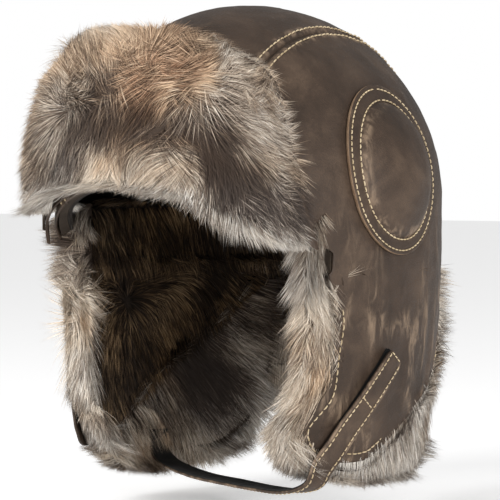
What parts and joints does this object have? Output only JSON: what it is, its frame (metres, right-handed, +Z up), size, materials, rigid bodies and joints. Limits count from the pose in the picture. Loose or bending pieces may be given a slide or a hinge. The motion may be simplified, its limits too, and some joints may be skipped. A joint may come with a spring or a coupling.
{
  "type": "trapper hat",
  "caption": "Padded leather winter hat with round ear pads, a turned-up fur visor, fur-lined ear flaps, a short neck flap and a leather chin strap.",
  "frame": {"origin": "middle of the head opening at brow level", "axes": "+X towards the wearer's left, the face looks along -Y, +Z up towards the top of the crown"},
  "size_m": [0.2188, 0.2729, 0.2691],
  "materials": {
    "brown_leather": "waxed, worn and wrinkled",
    "dark_leather": "smooth",
    "cream_thread": "matt",
    "wadding": "matt",
    "dark_satin": "quilted satin",
    "dark_fur": "faux fur",
    "mixed_fur": "faux fur",
    "stiffener_board": "matt",
    "foam": "matt",
    "black_webbing": "woven",
    "black_tape": "hook and loop"
  },
  "bodies": {
    "crown": {"crown_centre_panel": "brown_leather", "left_crown_side_panel": "brown_leather", "right_crown_side_panel": "brown_leather", "crown_seam_stitching": "cream_thread", "crown_wadding": "wadding", "crown_lining": "dark_satin", "crown_fur_band": "dark_fur", "sweatband": "dark_leather", "left_ear_disc_leather": "brown_leather", "left_ear_disc_pad": "foam", "left_ear_disc_stitching": "cream_thread", "right_ear_disc_leather": "brown_leather", "right_ear_disc_pad": "foam", "right_ear_disc_stitching": "cream_thread"},
    "visor": {"visor_leather_back": "brown_leather", "visor_stiffener": "stiffener_board", "visor_fur": "mixed_fur"},
    "left_ear_flap": {"left_ear_flap_leather": "brown_leather", "left_ear_flap_fur_lining": "dark_fur", "left_ear_flap_fur_trim": "mixed_fur", "left_ear_flap_stitching": "cream_thread", "strap_loop_patch": "black_tape"},
    "right_ear_flap": {"right_ear_flap_leather": "brown_leather", "right_ear_flap_fur_lining": "dark_fur", "right_ear_flap_fur_trim": "mixed_fur", "right_ear_flap_stitching": "cream_thread"},
    "neck_flap": {"neck_flap_leather": "brown_leather", "neck_flap_fur_lining": "dark_fur", "neck_flap_fur_trim": "mixed_fur", "neck_flap_stitching": "cream_thread"},
    "chin_strap": {"chin_strap_backing": "black_webbing", "chin_strap_leather": "brown_leather", "chin_strap_stitching": "cream_thread", "strap_hook_patch": "black_tape"}
  },
  "joints": [
    {"name": "visor_fold", "type": "hinge", "parent": "crown", "child": "visor", "pos_m": [0, -0.1295, 0.0105], "axis": [1, 0, 0], "range_deg": [0, 100]},
    {"name": "left_ear_flap_fold", "type": "hinge", "parent": "crown", "child": "left_ear_flap", "pos_m": [0.1015, 0, -0.0365], "axis": [0, -1, 0], "range_deg": [0, 150]},
    {"name": "right_ear_flap_fold", "type": "hinge", "parent": "crown", "child": "right_ear_flap", "pos_m": [-0.1015, 0, -0.0365], "axis": [0, 1, 0], "range_deg": [0, 150]},
    {"name": "neck_flap_fold", "type": "hinge", "parent": "crown", "child": "neck_flap", "pos_m": [0, 0.1285, -0.0365], "axis": [1, 0, 0], "range_deg": [0, 150]},
    {"name": "chin_strap_swing", "type": "hinge", "parent": "right_ear_flap", "child": "chin_strap", "pos_m": [-0.073, 0.013, -0.138], "axis": [0.4299, 0.9029, 0], "range_deg": [-60, 95], "deforming": ["chin_strap_backing", "chin_strap_leather", "chin_strap_stitching", "strap_hook_patch"]}
  ]
}
